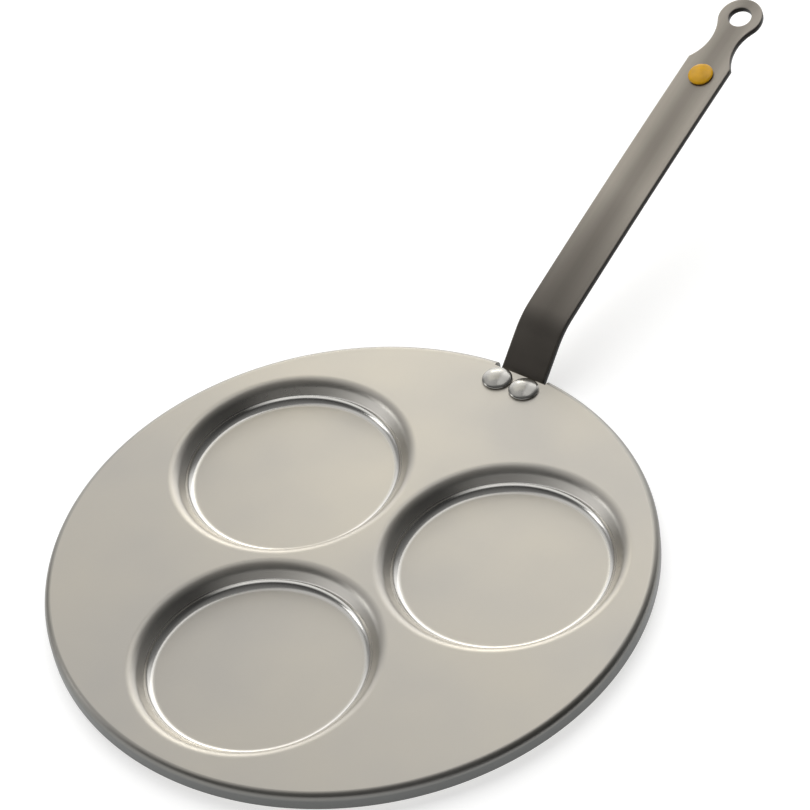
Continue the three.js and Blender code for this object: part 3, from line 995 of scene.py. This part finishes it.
def patch(tree, ray, place, strength):
    """Light from round one place, full within the inner angle and gone beyond the outer one."""
    azimuth, elevation, outer, inner = (math.radians(degrees) for degrees in place)
    centre = toward(azimuth, elevation)
    near = add_node(tree, "ShaderNodeVectorMath", {0: ray, 1: centre}, operation="DOT_PRODUCT")
    return spread(tree, near.outputs["Value"], 0.0, strength, math.cos(outer), math.cos(inner))


def studio_world(stage):
    """A dark room: a pale wall with a low window, a pale ceiling, a dim skylight and a pale table."""
    world = bpy.data.worlds.new("Dark room with a pale wall")
    world.use_nodes = True
    tree = world.node_tree
    tree.nodes.clear()
    ray = add_node(tree, "ShaderNodeTexCoord").outputs["Generated"]
    height = add_node(tree, "ShaderNodeSeparateXYZ", {"Vector": ray}).outputs["Z"]
    near_wall = math_node(tree, "POWER", patch(tree, ray, WALL_PATCH, 1.0), WALL_FALLOFF)
    wall = math_node(tree, "MULTIPLY", near_wall, stage.wall_light)
    window_band = spread(tree, height, 1.0, 0.0, *WINDOW_FADE)
    window = patch(tree, ray, WINDOW_PATCH, stage.window_light)
    table_band = spread(tree, height, 1.0, 0.0, *TABLE_FADE)
    table = patch(tree, ray, TABLE_PATCH, stage.table_light)
    light = patch(tree, ray, CEILING_PATCH, stage.ceiling_light)
    sky = patch(tree, ray, SKYLIGHT_PATCH, stage.skylight)
    for part in (wall, sky, math_node(tree, "MULTIPLY", window_band, window),
                 math_node(tree, "MULTIPLY", table_band, table), stage.room_light):
        light = math_node(tree, "ADD", light, part)
    background = add_node(tree, "ShaderNodeBackground", {"Strength": light})
    add_node(tree, "ShaderNodeOutputWorld", {"Surface": background.outputs[0]})
    return world


def white_paper(finish, stage):
    """Matt white paper that looks white to the eye and in the metal, and keeps the pan's shadow."""
    material, tree, shader, place = new_material("Matt white paper")
    dim = tuple(0.985 * c for c in finish.floor)
    tone = blend(tree, spread(tree, noise(tree, place, 2), 0, 1), tuple(finish.floor), dim)
    tree.links.new(tone, shader.inputs["Base Color"])
    paths = add_node(tree, "ShaderNodeLightPath").outputs
    seen = math_node(tree, "MAXIMUM", paths["Is Camera Ray"], paths["Is Glossy Ray"])
    shown = math_node(tree, "MAXIMUM", seen, paths["Is Transmission Ray"])
    glow = math_node(tree, "MULTIPLY", shown, stage.floor_glow)
    tree.links.new(glow, shader.inputs["Emission Strength"])
    shader.inputs["Emission Color"].default_value = (1.0, 1.0, 1.0, 1.0)
    shader.inputs["Roughness"].default_value = 0.9
    shader.inputs["Specular IOR Level"].default_value = 0.0
    return material


class PAN_OT_light_stage(bpy.types.Operator):
    """Set the floor, the light and the camera"""
    bl_idname = "pan.light_stage"
    bl_label = "Light Stage"

    def execute(self, context):
        scene = context.scene
        stage, finish = scene.pan_stage, scene.pan_finish
        scene.view_settings.view_transform = "Standard"
        scene.world = studio_world(stage)
        level = PAN_LOW[2] - FLOOR_GAP
        floor_mesh = spin("floor", [(FLOOR_RADIUS, level), (0.0, level)], TURNED_SEGMENTS)
        floor = mesh_object("floor", floor_mesh)
        floor.data.materials.append(white_paper(finish, stage))
        sheen = soft_light("sheen_light", SHEEN_LAMP, stage.sheen_power)
        sheen.data.use_shadow = False
        sheen.data.color = WARM_WHITE
        soft_light("strip_light", STRIP_LAMP, stage.strip_power)
        soft_light("side_light", SIDE_LAMP, stage.side_power)
        glint = soft_light("glint_light", GLINT_LAMP, stage.glint_power)
        glint.data.color = WARM_WHITE
        key = soft_light("key_light", KEY_LAMP, stage.key_power)
        key.visible_glossy = False
        data = bpy.data.cameras.new("photo_camera")
        data.sensor_width = SENSOR_WIDTH
        data.lens = FOCAL_PIXELS * SENSOR_WIDTH / IMAGE_PIXELS
        data.clip_end = 100.0
        camera = bpy.data.objects.new("photo_camera", data)
        scene.collection.objects.link(camera)
        axes = view_axes(CAMERA_AZIMUTH, CAMERA_ELEVATION, CAMERA_ROLL)
        camera.matrix_world = facing(axes, CAMERA_TARGET + axes[2] * CAMERA_DISTANCE)
        scene.camera = camera
        return {"FINISHED"}


class PAN_PT_sidebar(bpy.types.Panel):
    """The pan's pieces and sizes"""
    bl_idname = "PAN_PT_sidebar"
    bl_label = "Three-Well Pan"
    bl_space_type = "VIEW_3D"
    bl_region_type = "UI"
    bl_category = "Pan"

    def draw(self, context):
        for operator in OPERATORS:
            self.layout.operator(operator.bl_idname)
        for path in SETTINGS:
            box = self.layout.box()
            group = getattr(context.scene, path)
            for name in group.__annotations__:
                box.prop(group, name)


OPERATORS = (PAN_OT_light_stage, PAN_OT_press_sheet, PAN_OT_bend_strap, PAN_OT_set_rivets, PAN_OT_seat_stud)


def register():
    """Registers the settings, the operators and the panel."""
    for path, group in SETTINGS.items():
        bpy.utils.register_class(group)
        setattr(bpy.types.Scene, path, PointerProperty(type=group))
    for cls in (*OPERATORS, PAN_PT_sidebar):
        bpy.utils.register_class(cls)


def unregister():
    """Takes everything out again."""
    for cls in (PAN_PT_sidebar, *reversed(OPERATORS)):
        bpy.utils.unregister_class(cls)
    for path, group in reversed(SETTINGS.items()):
        delattr(bpy.types.Scene, path)
        bpy.utils.unregister_class(group)


def main():
    """Builds the pan and its stage."""
    register()
    bpy.ops.pan.light_stage()
    bpy.ops.pan.press_sheet()
    bpy.ops.pan.bend_strap()
    bpy.ops.pan.set_rivets()
    bpy.ops.pan.seat_stud()


if __name__ == "__main__":
    main()
